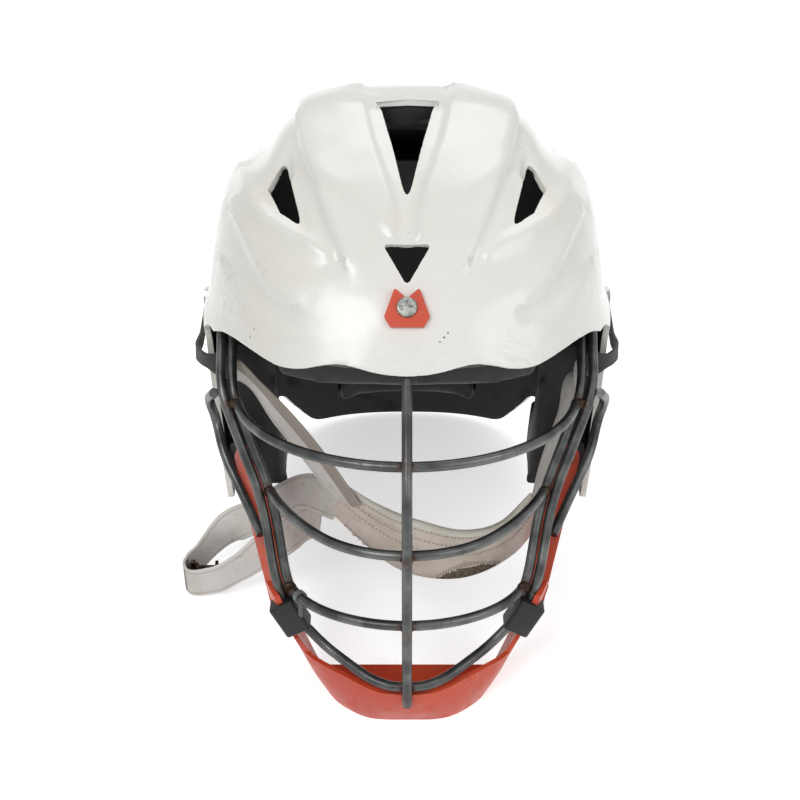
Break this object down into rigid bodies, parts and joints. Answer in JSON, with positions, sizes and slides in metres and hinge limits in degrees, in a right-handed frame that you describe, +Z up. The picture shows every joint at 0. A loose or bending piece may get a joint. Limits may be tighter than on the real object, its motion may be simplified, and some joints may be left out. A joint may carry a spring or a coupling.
{
  "type": "lacrosse helmet",
  "caption": "Lacrosse helmet with vented hard shell, welded wire face cage, chin guard, foam liner, chin cup on webbing straps and a sliding rear fit pad.",
  "frame": {"origin": "point of the flat surface under the middle of the shell, on the helmet's middle plane, as the helmet stands on its chin guard and its nape", "axes": "+X to the viewer's right as seen from the front, +Y towards the nape, +Z up; the cage faces -Y"},
  "size_m": [0.2434, 0.3014, 0.2674],
  "materials": {
    "shell_plastic": "glossy, scuffed, warm white",
    "orange_plastic": "semi-gloss orange red",
    "cage_steel": "dull, pitted, with rust at the welds",
    "hardware": "dull zinc",
    "bright_metal": "worn nickel",
    "dark_metal": "dark",
    "black_rubber": "matt moulded",
    "black_plastic": "matt moulded",
    "foam": "matt foam",
    "webbing": "worn off-white webbing",
    "cup_vinyl": "padded off-white vinyl"
  },
  "bodies": {
    "helmet": {"badge": "orange_plastic", "badge_nut": "hardware", "badge_screw": "hardware", "bottom_bar": "cage_steel", "brow_pad": "foam", "cage_tab": "cage_steel", "centre_bar": "cage_steel", "chin_cup": "cup_vinyl", "chin_guard": "orange_plastic", "crown_pad": "foam", "fit_housing": "black_plastic", "fit_screws": "hardware", "inner_side_wire_left": "cage_steel", "inner_side_wire_right": "cage_steel", "jaw_pad_left": "foam", "jaw_pad_right": "foam", "loop_wire_left": "cage_steel", "loop_wire_right": "cage_steel", "lower_bar": "cage_steel", "lower_strap_left": "webbing", "lower_strap_right": "webbing", "middle_bar": "cage_steel", "outer_side_wire_left": "cage_steel", "outer_side_wire_right": "cage_steel", "rear_pad": "foam", "shell": "shell_plastic", "side_block_left": "black_plastic", "side_block_right": "black_plastic", "side_screw_left": "hardware", "side_screw_right": "hardware", "strap_anchors": "hardware", "strap_pin": "hardware", "temple_pad_left": "foam", "temple_pad_right": "foam", "temple_stud_left": "hardware", "temple_stud_right": "hardware", "tie_scrap": "webbing", "top_bar": "cage_steel", "upper_bar": "cage_steel", "upper_strap_left": "webbing", "upper_strap_right": "webbing", "wire_clip_left": "black_rubber", "wire_clip_right": "black_rubber"},
    "fit_yoke": {"fit_yoke": "black_plastic", "yoke_pad": "foam"},
    "fit_button": {"fit_button": "orange_plastic"},
    "temple_hook_left": {"temple_hook_left": "bright_metal"},
    "temple_hook_right": {"temple_hook_right": "bright_metal"},
    "strap_hook": {"strap_hook": "dark_metal"}
  },
  "joints": [
    {"name": "fit_yoke_slide", "type": "slide", "parent": "helmet", "child": "fit_yoke", "axis": [0, -0.9563, 0.2924], "range_m": [0, 0.01]},
    {"name": "fit_button_press", "type": "slide", "parent": "helmet", "child": "fit_button", "axis": [0, -0.9563, 0.2924], "range_m": [0, 0.002], "stiffness_N_per_m": 400, "springref_m": -0.001},
    {"name": "temple_hook_left_turn", "type": "hinge", "parent": "helmet", "child": "temple_hook_left", "pos_m": [-0.112, 0.05163, 0.14282], "axis": [1, 0, 0], "range_deg": [-12, 12]},
    {"name": "temple_hook_right_turn", "type": "hinge", "parent": "helmet", "child": "temple_hook_right", "pos_m": [0.112, 0.05163, 0.14282], "axis": [1, 0, 0], "range_deg": [-12, 12]},
    {"name": "strap_hook_turn", "type": "hinge", "parent": "helmet", "child": "strap_hook", "pos_m": [-0.1226, -0.0385, 0.011], "axis": [0, 0, 1], "range_deg": [-12, 12]}
  ]
}
